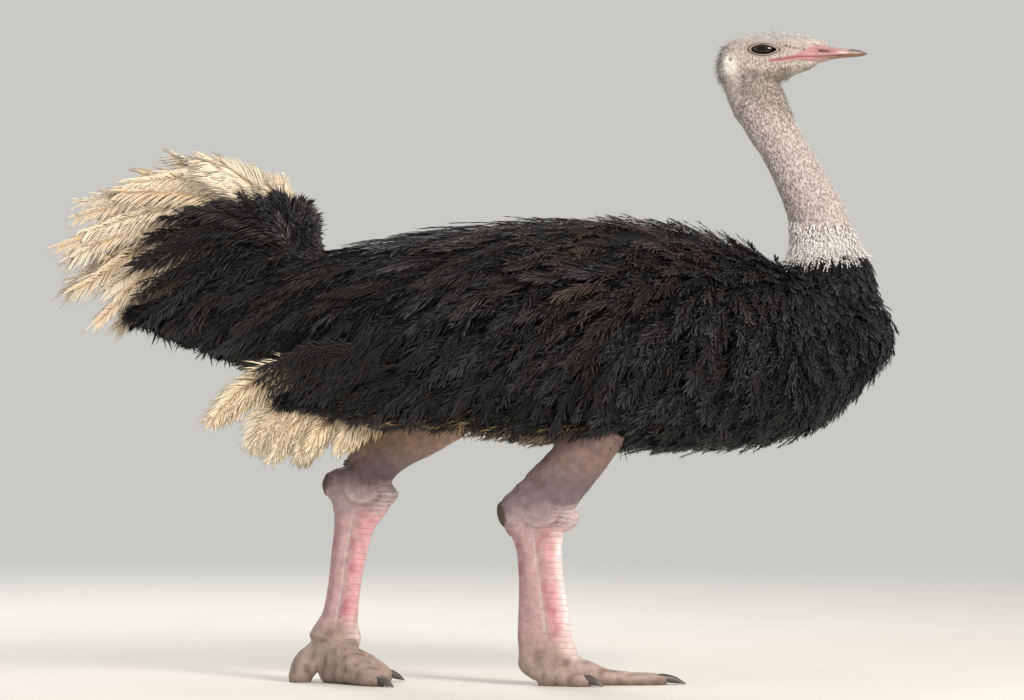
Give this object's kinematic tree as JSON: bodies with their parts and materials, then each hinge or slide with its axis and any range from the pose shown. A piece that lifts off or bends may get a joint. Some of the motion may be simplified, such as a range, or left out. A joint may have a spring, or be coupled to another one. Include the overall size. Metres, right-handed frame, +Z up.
{
  "type": "ostrich",
  "caption": "Life-size ostrich cock in mid-stride, head up and tail plumes raised, as a still museum model that stands on its own feet.",
  "frame": {"origin": "on the floor, midway along the bird's length and on its plane of symmetry", "axes": "+X to the front, where the bill points, +Y to the bird's left, +Z up"},
  "size_m": [2.739, 0.7636, 2.101],
  "materials": {
    "black_plumage": "soft loose plumes",
    "white_plumage": "soft loose plumes",
    "neck_skin": "bare skin under sparse down",
    "head_skin": "skin under short bristles",
    "thigh_skin": "bare skin",
    "shin_skin": "horny scutes",
    "foot_skin": "rough scaled skin",
    "bill_horn": "smooth horn",
    "claw_horn": "dull horn",
    "eye": "wet gloss"
  },
  "bodies": {
    "root": {"trunk": "black_plumage", "rump": "black_plumage", "tail": "black_plumage", "tail_plumes": "white_plumage", "wing_left": "black_plumage", "wing_right": "black_plumage", "wing_plumes_left": "white_plumage", "wing_plumes_right": "white_plumage", "neck_base": "black_plumage", "neck_lower": "neck_skin", "neck_middle": "neck_skin", "neck_upper": "neck_skin", "head": "head_skin", "bill_upper": "bill_horn", "bill_lower": "bill_horn", "eye_left": "eye", "eye_right": "eye", "shank_left": "thigh_skin", "shank_right": "thigh_skin", "hock_left": "thigh_skin", "hock_right": "thigh_skin", "tarsus_left": "shin_skin", "tarsus_right": "shin_skin", "heel_left": "foot_skin", "toe_large_left": "foot_skin", "toe_large_right": "foot_skin", "toe_small_left": "foot_skin", "toe_small_right": "foot_skin", "claw_large_left": "claw_horn", "claw_large_right": "claw_horn", "claw_small_left": "claw_horn", "claw_small_right": "claw_horn"}
  },
  "joints": []
}
